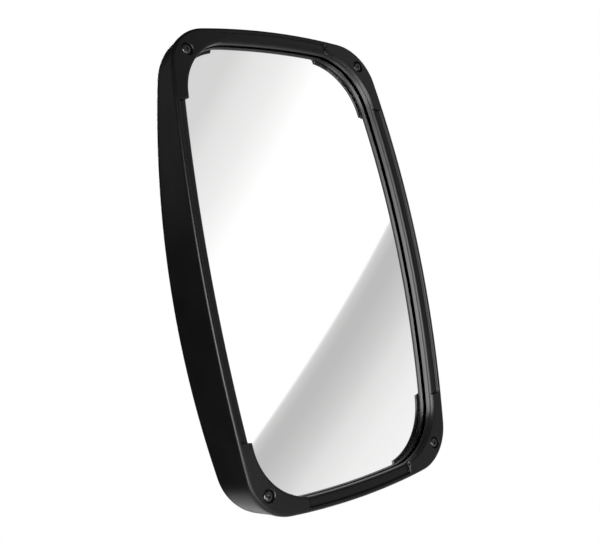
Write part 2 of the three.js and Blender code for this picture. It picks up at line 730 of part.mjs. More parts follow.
const bracketNutFront = bracketFront + BRACKET_BASE + GAP;
const clampFront = TUBE_DEPTH - CLAMP_EAR - GAP;
const clampRear = TUBE_DEPTH + CLAMP_EAR + GAP;

CORNER_SIGNS.forEach(([sx, sz], i) => {
  const number = i + 1;
  const corner = [sx * SCREW_X, 0, sz * SCREW_Z];
  const post = [sx * POST_X, 0, sz * POST_Z];
  const bracketHole = [sx * BRACKET_X, 0, sz * BRACKET_Z];
  const clampHole = [sx * CLAMP_BOLT_X, 0, sz * CLAMP_BOLT_Z];
  const bracketBolt = hexBolt(10, 4, 3, backingFront - GAP, PAD_DEPTH + 15);
  const clampBolt = hexBolt(13, 5.3, 3.9, clampFront, TUBE_DEPTH + 19);
  addPart(`frame_screw_${number}`, frameScrew(), BLACK_STEEL, corner);
  addPart(`frame_insert_${number}`, threadedInsert(), BRASS, corner);
  addPart(`holder_screw_${number}`, holderScrew(), ZINC_STEEL, post);
  addPart(`holder_buffer_${number}`, buffer(), DARK_RUBBER, post);
  addPart(`bracket_bolt_${number}`, bracketBolt, ZINC_STEEL, bracketHole);
  addPart(`bracket_nut_${number}`, hexNut(10, 3.3, bracketNutFront, 5), ZINC_STEEL, bracketHole);
  addPart(`clamp_bolt_${number}`, clampBolt, ZINC_STEEL, clampHole);
  addPart(`clamp_nut_${number}`, hexNut(13, 4.2, clampRear, 6.5), ZINC_STEEL, clampHole);
});

addPart('backing_plate', backingPlate(), ZINC_STEEL);
addPart('pivot_bracket', pivotBracket(), BLACK_STEEL);
addPart('tilt_bolt', tiltBolt(), ZINC_STEEL);
addPart('tilt_nut', ringX(9.8, 5.2, tiltHeadInner, tiltHeadInner + 8.4, 6), ZINC_STEEL);
addPart('tilt_washer_1', ringX(10, PIN_BORE_RADIUS, -washerOuter, -washerInner), ZINC_STEEL);
addPart('tilt_washer_2', ringX(10, PIN_BORE_RADIUS, washerInner, washerOuter), ZINC_STEEL);
const discInner = NOSE_HALF_WIDTH + GAP;
const discOuter = LUG_INNER_X - GAP;
addPart('friction_disc_1', ringX(8.8, PIN_BORE_RADIUS, -discOuter, -discInner), GREY_PLASTIC);
addPart('friction_disc_2', ringX(8.8, PIN_BORE_RADIUS, discInner, discOuter), GREY_PLASTIC);
addPart('clamp_block', clampBlock(), BLACK_STEEL);
addPart('clamp_cap', clampHalf(1), BLACK_STEEL);
addPart('bush_front', bushHalf(-1), GREY_PLASTIC);
addPart('bush_rear', bushHalf(1), GREY_PLASTIC);

export default head;
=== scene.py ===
"""Looks of a lorry's exterior mirror head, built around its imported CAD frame.

The frame is in metres, with the arm tube on the Z axis and the glass facing -Y. The meshes below
are drawn in millimetres as (x, depth, z), with depth 0 at the middle of the bowed front.
"""
import json
import math

import bmesh
import bpy
from mathutils import Matrix, Vector

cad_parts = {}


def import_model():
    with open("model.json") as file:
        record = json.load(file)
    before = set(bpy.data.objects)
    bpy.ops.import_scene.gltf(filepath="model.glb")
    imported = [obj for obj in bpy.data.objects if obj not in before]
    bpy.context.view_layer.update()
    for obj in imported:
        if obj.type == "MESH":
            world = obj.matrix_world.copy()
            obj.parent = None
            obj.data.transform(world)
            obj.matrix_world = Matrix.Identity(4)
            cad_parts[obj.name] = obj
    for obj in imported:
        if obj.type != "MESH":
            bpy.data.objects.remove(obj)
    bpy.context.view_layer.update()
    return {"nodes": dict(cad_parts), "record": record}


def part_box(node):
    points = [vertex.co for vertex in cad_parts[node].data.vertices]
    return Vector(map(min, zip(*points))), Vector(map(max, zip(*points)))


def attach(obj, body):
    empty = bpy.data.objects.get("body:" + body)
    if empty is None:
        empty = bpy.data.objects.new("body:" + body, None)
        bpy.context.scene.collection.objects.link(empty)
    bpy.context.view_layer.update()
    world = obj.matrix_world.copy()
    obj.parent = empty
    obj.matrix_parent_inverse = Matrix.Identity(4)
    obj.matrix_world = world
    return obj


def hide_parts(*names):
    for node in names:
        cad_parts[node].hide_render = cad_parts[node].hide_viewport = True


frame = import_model()

MM = 0.001
CORNERS = {1: (-1, 1), 2: (1, 1), 3: (-1, -1), 4: (1, -1)}

# The front and the glass bow back together as part of a large ball.
BOW_RADIUS = 3000


def bow(x, z):
    """How far the bowed front lies behind its middle."""
    return (x * x + z * z) / (2 * BOW_RADIUS)


def box_mm(node):
    low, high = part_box(node)
    return low / MM, high / MM


frame_low, frame_high = box_mm("front_frame")
LIP_CREST = 3.6
FRONT = frame_low.y - bow(frame_high.x - LIP_CREST, 0)

# Outer outline and window outline: shallow arcs joined by tangent corner arcs.
OUTER = {
    "half_width": frame_high.x,
    "half_height": frame_high.z,
    "side_radius": 1394,
    "end_radius": 791,
    "corner_radius": 44,
}
WINDOW = {
    "half_width": frame_high.x - 13.4,
    "half_height": frame_high.z - 13.6,
    "side_radius": 1338,
    "end_radius": 956,
    "corner_radius": 58,
}

# Front frame.
PARTING = 6
GAP = 0.3
LEDGE = 2.5
ROUND = 5
WALL_REACH = 0.75
WALL_END = 10.6
FRAME_THICKNESS = 2
LAND_END_X = 62
LAND_END_Z = 145.5
LAND_FADE = 1.1
LAND_WALL = 3.2
COUNTERBORE_RADIUS = 5.75
COUNTERBORE_DEPTH = 3
BOSS_RADIUS = 5.4
LAND_UNDERSIDE = 5.2
SCREW_HOLE_RADIUS = 2.9

# Frame screws: M5 with a button head.
HEAD_RADIUS = 4.75
SHANK_RADIUS = 2.45
SOCKET_RADIUS = 1.73

# Rear housing.
WALL = 3
DRAFT = 0.04
FILLET = 18
FILLET_START = 0.06
FILLET_END = 1.26
APEX = 87
PAD_BACK = box_mm("pivot_bracket")[0].y - FRONT - GAP
PAD_THICKNESS = 8
PAD_HALF_WIDTH = 40
PAD_HALF_HEIGHT = 36
PAD_CORNER = 8
POST_RADIUS = 7
RIB_X = 48
RIB_THICKNESS = 2.4
RIB_REACH = 22
RIB_HALF_HEIGHT = 100
FAR_BACK = 100
INSERT_RADIUS = 3.8
INSERT_SCREW_RADIUS = 2.8
POST_SCREW_RADIUS = 2.4
BRACKET_HOLE_RADIUS = 3.4
GROMMET_HOLE_RADIUS = 8
DRAIN_X = 60
DRAIN_DEPTH = 34
DRAIN_RADIUS = 3

# Glass and its tray: depths, and reaches outside the window outline.
GLASS_FRONT = 12.5
GLASS_BACK = 14.5
GLASS_REACH = 3
TRAY_RIM = 12
TRAY_FLOOR = 15.7
TRAY_BACK = 18.1
TRAY_REACH = 4.8
POCKET_REACH = 3.4
CUP_RADIUS = 9
CUP_DEPTH = 11.5
CUP_BORE_RADIUS = 5.2
CUP_FLOOR = 2.6
CUP_HOLE_RADIUS = 2.7

# Points round each ring of a bolt or nut: ten to each side of its hexagon.
RING_POINTS = 60


def middle(node):
    """Middle of a node's box as (x, depth, z)."""
    low, high = box_mm(node)
    centre = (low + high) / 2
    return centre.x, centre.y - FRONT, centre.z


def depths(node):
    low, high = box_mm(node)
    return low.y - FRONT, high.y - FRONT


SCREW_PLACES = {n: middle(f"frame_screw_{n}") for n in CORNERS}
POST_PLACES = {n: middle(f"holder_screw_{n}") for n in CORNERS}
SCREW_BOW = bow(SCREW_PLACES[1][0], SCREW_PLACES[1][2])


# ---------------------------------------------------------------- meshes

def new_object(name, points, faces, smooth_angle=35):
    """A mesh object from points (x, depth, z); edges sharper than the given angle stay sharp."""
    mesh = bpy.data.meshes.new(name)
    mesh.from_pydata([(x * MM, (FRONT + depth) * MM, z * MM) for x, depth, z in points], [], faces)
    build = bmesh.new()
    build.from_mesh(mesh)
    bmesh.ops.recalc_face_normals(build, faces=build.faces)
    build.to_mesh(mesh)
    build.free()
    mesh.shade_smooth()
    mesh.set_sharp_from_angle(angle=math.radians(smooth_angle))
    obj = bpy.data.objects.new(name, mesh)
    bpy.context.scene.collection.objects.link(obj)
    return obj


def loft(name, rings, closed_loop=False, smooth_angle=35):
    """A surface through rings of points. Its ends are closed by fans, or joined to each other."""
    count = len(rings[0])
    points = [p for ring in rings for p in ring]
    faces = []
    for band in range(len(rings) if closed_loop else len(rings) - 1):
        here = band * count
        there = (band + 1) % len(rings) * count
        for i in range(count):
            j = (i + 1) % count
            faces.append((here + i, here + j, there + j, there + i))
    if not closed_loop:
        for ring, start in ((rings[0], 0), (rings[-1], (len(rings) - 1) * count)):
            points.append([sum(p[k] for p in ring) / count for k in range(3)])
            centre = len(points) - 1
            faces += [(centre, start + i, start + (i + 1) % count) for i in range(count)]
    return new_object(name, points, faces, smooth_angle)


def boolean(obj, cutters, operation="DIFFERENCE", smooth_angle=35):
    """Applies the cutters to obj with the exact solver and removes them."""
    for cutter in cutters:
        modifier = obj.modifiers.new("cut", "BOOLEAN")
        modifier.object = cutter
        modifier.operation = operation
        modifier.solver = "EXACT"
    graph = bpy.context.evaluated_depsgraph_get()
    mesh = bpy.data.meshes.new_from_object(obj.evaluated_get(graph))
    obj.modifiers.clear()
    obj.data = mesh
    for cutter in cutters:
        bpy.data.objects.remove(cutter)
    mesh.shade_smooth()
    mesh.set_sharp_from_angle(angle=math.radians(smooth_angle))
    return obj


def joined(name, objects):
    """One object from several that don't touch."""
    build = bmesh.new()
    for obj in objects:
        build.from_mesh(obj.data)
        bpy.data.objects.remove(obj)
    mesh = bpy.data.meshes.new(name)
    build.to_mesh(mesh)
    build.free()
    obj = bpy.data.objects.new(name, mesh)
    bpy.context.scene.collection.objects.link(obj)
    return obj


def circle(count):
    """Evenly spaced points (cosine, sine) of a unit circle."""
    turns = [2 * math.pi * i / count for i in range(count)]
    return [(math.cos(turn), math.sin(turn)) for turn in turns]


def turned(name, profile, centre, sides=64, hollow=False):
    """A solid turned about a depth axis through centre; the profile is (radius, depth)."""
    cx, _, cz = centre
    rings = [
        [(cx + radius * u, depth, cz + radius * v) for u, v in circle(sides)]
        for radius, depth in profile
    ]
    return loft(name, rings, closed_loop=hollow)


def rod(radius, start, end, centre):
    return turned("rod", [(radius, start), (radius, end)], centre, sides=48)


def upright_rod(radius, low, high, x, depth):
    rings = [[(x + radius * u, depth + radius * v, z) for u, v in circle(48)] for z in (low, high)]
    return loft("upright_rod", rings)


# ---------------------------------------------------------------- outlines

def quarter_arcs(shape):
    """The side, corner and end arcs of a quarter outline as (x, z, radius, first turn, last turn)."""
    corner = shape["corner_radius"]
    side_x = shape["half_width"] - shape["side_radius"]
    end_z = shape["half_height"] - shape["end_radius"]
    side_reach = shape["side_radius"] - corner
    end_reach = shape["end_radius"] - corner
    span = math.hypot(side_x, end_z)
    along = (side_reach ** 2 - end_reach ** 2 + span ** 2) / (2 * span)
    across = math.sqrt(side_reach ** 2 - along ** 2)
    ux, uz = -side_x / span, end_z / span
    x = side_x + ux * along - uz * across
    z = uz * along + ux * across
    side_turn = math.atan2(z, x - side_x)
    end_turn = math.atan2(z - end_z, x)
    return [
        (side_x, 0, shape["side_radius"], 0, side_turn),
        (x, z, corner, side_turn, end_turn),
        (0, end_z, shape["end_radius"], end_turn, math.pi / 2),
    ]


def point_along(arcs, distance):
    """The point (x, z, nx, nz) at a distance along the arcs."""
    for x, z, radius, first, last in arcs:
        length = radius * (last - first)
        if distance <= length or last == math.pi / 2:
            turn = first + distance / radius
            nx, nz = math.cos(turn), math.sin(turn)
            return x + radius * nx, z + radius * nz, nx, nz
        distance -= length


def distance_where(arcs, reached):
    """The distance along the arcs at which a test on the point first holds."""
    low, high = 0.0, sum(radius * (last - first) for _, _, radius, first, last in arcs)
    for _ in range(48):
        half = (low + high) / 2
        if reached(point_along(arcs, half)):
            high = half
        else:
            low = half
    return high


def outline(shape, heights, corner_steps, places):
    """A whole outline as points (x, z, nx, nz), anticlockwise from the middle of the right side.

    Its points lie at the given heights, then evenly round the corner, then at the given places (x)
    along the end.
    """
    arcs = quarter_arcs(shape)
    side = [distance_where(arcs, lambda p, z=z: p[1] >= z) for z in heights]
    end = [distance_where(arcs, lambda p, x=x: p[0] <= x) for x in places]
    step = (end[0] - side[-1]) / corner_steps
    corner = [side[-1] + step * i for i in range(1, corner_steps)]
    right = [(shape["half_width"], 0, 1, 0)]
    right += [point_along(arcs, distance) for distance in side[1:] + corner + end[:-1]]
    right.append((0, shape["half_height"], 0, 1))
    left = [(-x, z, -nx, nz) for x, z, nx, nz in reversed(right[1:-1])]
    lower = [(-x, -z, -nx, -nz) for x, z, nx, nz in right + left]
    return right + left + lower


def evenly(start, end, steps):
    return [start + (end - start) * i / steps for i in range(steps + 1)]


def smoothstep(value):
    t = min(1.0, max(0.0, value))
    return t * t * (3 - 2 * t)


def ring_at(points, inset, depth):
    """An outline moved inwards, at a depth behind the bowed front."""
    moved = [(x - inset * nx, z - inset * nz) for x, z, nx, nz in points]
    return [(x, depth + bow(x, z), z) for x, z in moved]


# ---------------------------------------------------------------- front frame

def round_section(radius, turns):
    """The rounded wall of the window as (window, inset, depth)."""
    x = -WALL_REACH - ROUND
    y = LEDGE + ROUND
    return [("window", x + radius * math.sin(t), y - radius * math.cos(t)) for t in turns]


LIP = [
    ("outer", 0, PARTING), ("outer", 0, 2.8), ("outer", 0.12, 1.9), ("outer", 0.45, 1.1),
    ("outer", 0.95, 0.5), ("outer", 1.6, 0.13), ("outer", 2.3, 0),
]
INSIDE = [
    ("window", -WALL_REACH, WALL_END - 0.3), ("window", -WALL_REACH - 0.3, WALL_END),
    ("window", -WALL_REACH - FRAME_THICKNESS, WALL_END),
    *round_section(ROUND - FRAME_THICKNESS, [1.3, 0.65, 0]),
    ("outer", 5.3, 4.5), ("outer", 5.1, 11), ("outer", 3.9, 11), ("outer", 3.7, PARTING),
]

# Sections of the frame as (outline, inset, depth), with as many points each: the sunken ledge along
# the sides and ends, and the raised land at the corners.
LEDGE_SECTION = LIP + [
    ("outer", 2.8, 0.04), ("outer", 3.3, 0.17), ("outer", 3.7, 0.42), ("outer", 4, 0.8),
    ("outer", 4.2, 1.3), ("outer", 4.35, 1.9), ("outer", 4.65, 2.35), ("outer", 5.1, 2.5),
    *round_section(ROUND, [0, 0.12, 0.25, 0.4, 0.55, 0.7, 0.85, 1.0, 1.15, 1.3]),
    ("window", -WALL_REACH - 0.1, 8),
] + INSIDE
LAND_SECTION = LIP + [
    ("outer", 3, 0), ("outer", 4.4, 0), ("outer", 5.8, 0), ("outer", 7.2, 0), ("outer", 8.6, 0),
    ("window", -3, 0), ("window", -2.2, 0), ("window", -1.6, 0.04),
    ("window", -1.1, 0.16), ("window", -0.6, 0.42), ("window", -0.25, 0.8), ("window", 0, 1.4),
    ("window", 0, LAND_WALL - 0.2), ("window", -0.2, LAND_WALL), ("window", -1.9, 4.3),
    *round_section(ROUND, [0.98, 1.15, 1.3]),
    ("window", -WALL_REACH - 0.1, 8),
] + INSIDE


def front_frame():
    fade = [-0.5, 0, 0.2, 0.4, 0.6, 0.8, 1, 1.5]
    heights = evenly(0, LAND_END_Z - 3, 24) + [LAND_END_Z + LAND_FADE * part for part in fade]
    places = [LAND_END_X + LAND_FADE * part for part in reversed(fade)]
    places += evenly(LAND_END_X - 3, 0, 10)
    outlines = {
        "outer": outline(OUTER, heights, 40, places),
        "window": outline(WINDOW, heights, 40, places),
    }
    weights = [
        smoothstep(min(abs(x) - LAND_END_X, abs(z) - LAND_END_Z) / LAND_FADE)
        for x, z, _, _ in outlines["outer"]
    ]
    rings = []
    for ledge_point, land_point in zip(LEDGE_SECTION, LAND_SECTION):
        ledge = ring_at(outlines[ledge_point[0]], *ledge_point[1:])
        land = ring_at(outlines[land_point[0]], *land_point[1:])
        rings.append([
            tuple(a + (b - a) * weight for a, b in zip(low, high))
            for low, high, weight in zip(ledge, land, weights)
        ])
    body = loft("frame_of_the_front", rings, closed_loop=True)
    through = SCREW_BOW + 20
    counterbore = [
        (COUNTERBORE_RADIUS + 2.4, SCREW_BOW - 2),
        (COUNTERBORE_RADIUS, SCREW_BOW + 0.35),
        (COUNTERBORE_RADIUS, SCREW_BOW + COUNTERBORE_DEPTH),
    ]
    cutters = []
    for place in SCREW_PLACES.values():
        cutters.append(turned("bore", counterbore, place))
        cutters.append(rod(SCREW_HOLE_RADIUS, SCREW_BOW, through, place))
        cutters.append(rod(BOSS_RADIUS + 0.4, SCREW_BOW + LAND_UNDERSIDE, through, place))
    return boolean(body, cutters)


def frame_screw(number):
    """Button-head screw with a hexagon socket."""
    place = SCREW_PLACES[number]
    top, tip = depths(f"frame_screw_{number}")
    under = COUNTERBORE_DEPTH + SCREW_BOW - GAP
    head = [
        (2.4, top), (3, top + 0.1), (3.6, top + 0.35), (4.2, top + 0.8), (4.55, top + 1.25),
        (HEAD_RADIUS, top + 1.75), (HEAD_RADIUS, under - 0.1), (HEAD_RADIUS - 0.1, under),
    ]
    shank = [(SHANK_RADIUS, under), (SHANK_RADIUS, tip - 1), (1.9, tip)]
    screw = turned("screw_with_button_head", head + shank, place)
    hollow = [(SOCKET_RADIUS, top - 1), (SOCKET_RADIUS, top + 1.7), (0.4, top + 2.2)]
    socket = turned("socket", hollow, place, sides=6)
    return boolean(screw, [socket], smooth_angle=30)


# ---------------------------------------------------------------- rear housing

def side_depth(z):
    """Depth at which the side wall starts to turn into the back, at a given height."""
    t = z / 100
    return 54.5 - 5.6 * t - 4.1 * t ** 2 + 0.09 * t ** 3


def housing_body(wall, front, side_steps, fillet_steps, dome_steps):
    """The housing's outer body, or the hollow in it when `wall` is its thickness.

    Its side wall runs back from the parting line, a round turns it inwards, and the back is a dome
    that becomes oval towards its middle.
    """
    points = outline(OUTER, evenly(0, 165, 18), 18, evenly(85, 0, 9))
    rings = []

    def wall_inset(depth):
        return 0.2 + wall + DRAFT * (max(depth, PARTING) - PARTING)

    for part in evenly(0, 1, side_steps)[:-1]:
        ring = []
        for x, z, nx, nz in points:
            start = front + bow(x, z)
            depth = start + (side_depth(z) - (1 if wall else 0) - start) * part
            inset = wall_inset(depth)
            ring.append((x - inset * nx, depth, z - inset * nz))
        rings.append(ring)
    radius = FILLET - wall
    for turn in evenly(FILLET_START, FILLET_END, fillet_steps):
        ring = []
        for x, z, nx, nz in points:
            start = side_depth(z)
            inset = wall_inset(start) + radius * (math.cos(FILLET_START) - math.cos(turn))
            depth = start + radius * (math.sin(turn) - math.sin(FILLET_START))
            ring.append((x - inset * nx, depth, z - inset * nz))
        rings.append(ring)
    edge = rings[-1]
    edge_x = max(x for x, _, _ in edge)
    edge_z = max(z for _, _, z in edge)
    apex = APEX - wall
    for scale in evenly(1, 0, dome_steps)[1:-1]:
        mix = smoothstep(1.5 * (1 - scale))
        ring = []
        for x, depth, z in edge:
            turn = math.atan2(z / edge_z, x / edge_x)
            oval_x, oval_z = edge_x * math.cos(turn), edge_z * math.sin(turn)
            ring.append((
                (x + (oval_x - x) * mix) * scale,
                apex - (apex - depth) * scale ** 2,
                (z + (oval_z - z) * mix) * scale,
            ))
        rings.append(ring)
    return loft("housing_body", rings)


def rounded_plate(name, half_x, half_z, corner, section):
    """A plate with round corners; the section is (inset, depth) from one face to the other."""
    quarter_turn = math.pi / 2
    rings = []
    for inset, depth in section:
        ring = []
        for quarter, (sx, sz) in enumerate(((1, 1), (-1, 1), (-1, -1), (1, -1))):
            for turn in evenly(quarter * quarter_turn, (quarter + 1) * quarter_turn, 8):
                reach = corner - inset
                x = sx * (half_x - corner) + reach * math.cos(turn)
                z = sz * (half_z - corner) + reach * math.sin(turn)
                ring.append((x, depth, z))
        rings.append(ring)
    return loft(name, rings)


def block(x0, x1, y0, y1, z0, z1):
    return loft("block", [[(x0, y, z0), (x1, y, z0), (x1, y, z1), (x0, y, z1)] for y in (y0, y1)])


def housing_insides():
    """Screw bosses, tray posts and two upright ribs, trimmed to end within the shell's wall."""
    solids = []
    for number in CORNERS:
        buffer_back = depths(f"holder_buffer_{number}")[1]
        boss_front = SCREW_BOW + LAND_UNDERSIDE + GAP
        solids.append(rod(BOSS_RADIUS, boss_front, FAR_BACK, SCREW_PLACES[number]))
        solids.append(rod(POST_RADIUS, buffer_back + GAP, FAR_BACK, POST_PLACES[number]))
    for x in (-RIB_X, RIB_X):
        sides = (x - RIB_THICKNESS / 2, x + RIB_THICKNESS / 2)
        solids.append(block(*sides, PAD_BACK - RIB_REACH, FAR_BACK, -RIB_HALF_HEIGHT, RIB_HALF_HEIGHT))
    trim = housing_body(WALL / 2, PARTING - 3, 4, 4, 9)
    return boolean(joined("inside", solids), [trim], "INTERSECT")


def housing_pad():
    """The flat pad on the back that the bracket is bolted to."""
    front = PAD_BACK - PAD_THICKNESS
    section = [
        (2, front), (2, front + 3), (0, front + 4),
        (0, PAD_BACK - 0.8), (0.25, PAD_BACK - 0.25), (0.8, PAD_BACK),
    ]
    return rounded_plate("pad", PAD_HALF_WIDTH, PAD_HALF_HEIGHT, PAD_CORNER, section)


def housing_holes():
    cutters = []
    for number in CORNERS:
        boss, post = SCREW_PLACES[number], POST_PLACES[number]
        insert_front, insert_back = depths(f"frame_insert_{number}")
        bracket_bolt = middle(f"bracket_bolt_{number}")
        cutters.append(rod(INSERT_RADIUS, SCREW_BOW, insert_back + 0.5, boss))
        cutters.append(rod(INSERT_SCREW_RADIUS, SCREW_BOW, insert_front + 18, boss))
        cutters.append(rod(POST_SCREW_RADIUS, 20, 50, post))
        cutters.append(rod(BRACKET_HOLE_RADIUS, PAD_BACK - 13, PAD_BACK + 5, bracket_bolt))
    cable = middle("cable_grommet")
    cutters.append(rod(GROMMET_HOLE_RADIUS, PAD_BACK - 30, PAD_BACK + 12, cable))
    return cutters


def drain_holes():
    """Two holes through the bottom wall."""
    bottom = -OUTER["half_height"]
    return [
        upright_rod(DRAIN_RADIUS, bottom - 10, bottom + 10, x, DRAIN_DEPTH)
        for x in (-DRAIN_X, DRAIN_X)
    ]


def rear_housing():
    shell = boolean(
        housing_body(0, PARTING + GAP, 6, 9, 16),
        [housing_body(WALL, PARTING - 1, 4, 4, 9)],
    )
    shell = boolean(shell, [housing_insides(), housing_pad()], "UNION")
    shell = boolean(shell, housing_holes())
    return boolean(shell, drain_holes())


def cable_grommet():
    centre = middle("cable_grommet")
    low, high = depths("cable_grommet")
    wall = low + 7
    profile = [
        (2.5, low), (9.4, low), (10, low + 0.6), (10, wall - 4.4), (7.6, wall - 4.4), (7.6, wall + 1.6),
        (10.3, wall + 1.6), (10.5, wall + 1.9), (10.5, wall + 2.8), (10.1, wall + 3.4),
        (7.2, wall + 4), (6.3, wall + 5), (5.7, high - 0.8), (5.3, high - 0.2), (4.9, high), (2.5, high),
    ]
    return turned("rubber_grommet", profile, centre, hollow=True)


# ---------------------------------------------------------------- glass and tray

def bowed_plate(name, section, steps=14):
    """A bowed plate; the section is (reach outside the window outline, depth) round its edge."""
    points = outline(WINDOW, evenly(0, 140, 14), 26, evenly(60, 0, 7))

    def face(reach, depth, scales):
        edge = ring_at(points, -reach, 0)
        return [
            [(x * s, depth + bow(x * s, z * s), z * s) for x, _, z in edge]
            for s in scales
        ]

    rings = face(*section[0], evenly(0.002, 1, steps))
    for reach, depth in section[1:-1]:
        rings += face(reach, depth, [1])
    rings += face(*section[-1], evenly(1, 0.002, steps))
    return loft(name, rings)


def mirror_glass():
    """The bowed glass, with its edges ground off all round."""
    ground = 0.4
    return bowed_plate("convex_glass", [
        (GLASS_REACH - ground, GLASS_FRONT), (GLASS_REACH, GLASS_FRONT + ground),
        (GLASS_REACH, GLASS_BACK - ground), (GLASS_REACH - ground, GLASS_BACK),
    ], steps=24)


def glass_holder():
    """The tray that holds the glass, with a cup at the back for each of its screws."""
    body = bowed_plate("glass_tray", [(TRAY_REACH, TRAY_RIM), (TRAY_REACH, TRAY_BACK)])
    cup_back = depths("holder_buffer_1")[0] - GAP
    cup_front = cup_back - CUP_DEPTH
    cups = joined("cups", [rod(CUP_RADIUS, cup_front, cup_back, p) for p in POST_PLACES.values()])
    body = boolean(body, [cups], "UNION")
    cutters = [bowed_plate("pocket", [(POCKET_REACH, TRAY_RIM - 5), (POCKET_REACH, TRAY_FLOOR)])]
    for place in POST_PLACES.values():
        cutters.append(rod(CUP_BORE_RADIUS, TRAY_RIM, cup_back - CUP_FLOOR, place))
        cutters.append(rod(CUP_HOLE_RADIUS, TRAY_RIM, cup_back + 1, place))
    return boolean(body, cutters)


# ---------------------------------------------------------------- bolts and nuts

def around(centre, radii, places):
    """A ring about a depth axis through centre, from a radius and a depth at each step of a turn."""
    ring = []
    for i, (radius, place) in enumerate(zip(radii, places)):
        turn = 2 * math.pi * i / RING_POINTS
        ring.append((centre[0] + radius * math.sin(turn), place, centre[2] + radius * math.cos(turn)))
    return ring


def disc_ring(centre, radius, place):
    return around(centre, [radius] * RING_POINTS, [place] * RING_POINTS)


def hex_ring(centre, across, place, sense):
    """A hexagon whose corners dip by a 30 degree chamfer, backwards or forwards with the sense."""
    radii, places = [], []
    for i in range(RING_POINTS):
        apart = 2 * math.pi * i / RING_POINTS % (math.pi / 3) - math.pi / 6
        radius = across / 2 / math.cos(apart)
        dip = max(0.0, radius - 0.48 * across) * math.tan(math.radians(30))
        radii.append(radius)
        places.append(place + sense * dip)
    return around(centre, radii, places)


def thread_rings(centre, radius, pitch, start, end):
    """A thread as rings that wave in and out once a pitch and once a turn."""
    length = end - start
    depth = 0.54 * pitch
    rows_per_pitch = 7
    rings = []
    for row in range(int(length / pitch * rows_per_pitch) + 1):
        along = min(length, row * pitch / rows_per_pitch)
        to_end = (length - along) / pitch
        taper = 0.7 * max(0.0, 1 - to_end) * depth
        radii = []
        for i in range(RING_POINTS):
            phase = (along / pitch + i / RING_POINTS) % 1
            groove = depth * (1 - abs(2 * phase - 1)) * min(1.0, to_end + 0.25)
            radii.append(radius - max(groove, taper))
        rings.append(around(centre, radii, [start + along] * RING_POINTS))
    return rings


def hex_bolt(name, node, across, head, radius, pitch, thread):
    """A hexagon-head bolt whose head is at the low end of the node's box."""
    centre = middle(node)
    start, end = depths(node)
    under = start + head
    collar = 0.3
    rings = [
        disc_ring(centre, 0.48 * across - 0.6, start),
        hex_ring(centre, across, start, 1),
        hex_ring(centre, across, under - collar, 0),
        disc_ring(centre, 0.47 * across, under - collar),
        disc_ring(centre, 0.47 * across, under),
        disc_ring(centre, radius, under),
        disc_ring(centre, radius, end - thread),
    ]
    rings += thread_rings(centre, radius, pitch, end - thread, end)
    return loft(name, rings, smooth_angle=28)


def hex_nut(name, node, across, bore):
    """A hexagon nut, chamfered on both faces and countersunk at the back."""
    centre = middle(node)
    start, end = depths(node)
    rings = [
        disc_ring(centre, bore, start),
        disc_ring(centre, 0.47 * across, start),
        hex_ring(centre, across, start, 1),
        hex_ring(centre, across, end, -1),
        disc_ring(centre, 0.47 * across, end),
        disc_ring(centre, bore + 0.5, end),
        disc_ring(centre, bore, end - 0.5),
    ]
    return loft(name, rings, closed_loop=True, smooth_angle=28)


# ---------------------------------------------------------------- materials

def material(name, colour, roughness, metallic=0.0, specular=0.5):
    mat = bpy.data.materials.new(name)
    mat.use_nodes = True
    shader = mat.node_tree.nodes["Principled BSDF"]
    shader.inputs["Base Color"].default_value = (*colour, 1)
    shader.inputs["Roughness"].default_value = roughness
    shader.inputs["Metallic"].default_value = metallic
    shader.inputs["Specular IOR Level"].default_value = specular
    return mat, shader


def noise(mat, scale, detail=4, stretch=(1, 1, 1)):
    """A noise texture in object coordinates, in metres."""
    nodes, links = mat.node_tree.nodes, mat.node_tree.links
    coordinates = nodes.new("ShaderNodeTexCoord")
    mapping = nodes.new("ShaderNodeMapping")
    mapping.inputs["Scale"].default_value = stretch
    texture = nodes.new("ShaderNodeTexNoise")
    texture.inputs["Scale"].default_value = scale
    texture.inputs["Detail"].default_value = detail
    links.new(coordinates.outputs["Object"], mapping.inputs["Vector"])
    links.new(mapping.outputs["Vector"], texture.inputs["Vector"])
    return texture.outputs["Fac"]


def vary(mat, shader, socket, source, low, high, start=0.3, end=0.7):
    """Drives a shader's number between two values by a texture."""
    nodes, links = mat.node_tree.nodes, mat.node_tree.links
    span = nodes.new("ShaderNodeMapRange")
    span.inputs["From Min"].default_value = start
    span.inputs["From Max"].default_value = end
    span.inputs["To Min"].default_value = low
    span.inputs["To Max"].default_value = high
    links.new(source, span.inputs["Value"])
    links.new(span.outputs["Result"], shader.inputs[socket])


def tint(mat, shader, source, low, high, start=0.3, end=0.7):
    """Drives the base colour between two colours by a texture."""
    nodes, links = mat.node_tree.nodes, mat.node_tree.links
    ramp = nodes.new("ShaderNodeValToRGB")
    first, last = ramp.color_ramp.elements
    first.position, last.position = start, end
    first.color, last.color = (*low, 1), (*high, 1)
    links.new(source, ramp.inputs["Fac"])
    links.new(ramp.outputs["Color"], shader.inputs["Base Color"])


def bump(mat, shader, layers):
    """Stacks bumps; each layer is (texture, strength, height in metres)."""
    nodes, links = mat.node_tree.nodes, mat.node_tree.links
    last = None
    for source, strength, distance in layers:
        node = nodes.new("ShaderNodeBump")
        node.inputs["Strength"].default_value = strength
        node.inputs["Distance"].default_value = distance
        links.new(source, node.inputs["Height"])
        if last:
            links.new(last.outputs["Normal"], node.inputs["Normal"])
        last = node
    links.new(last.outputs["Normal"], shader.inputs["Normal"])


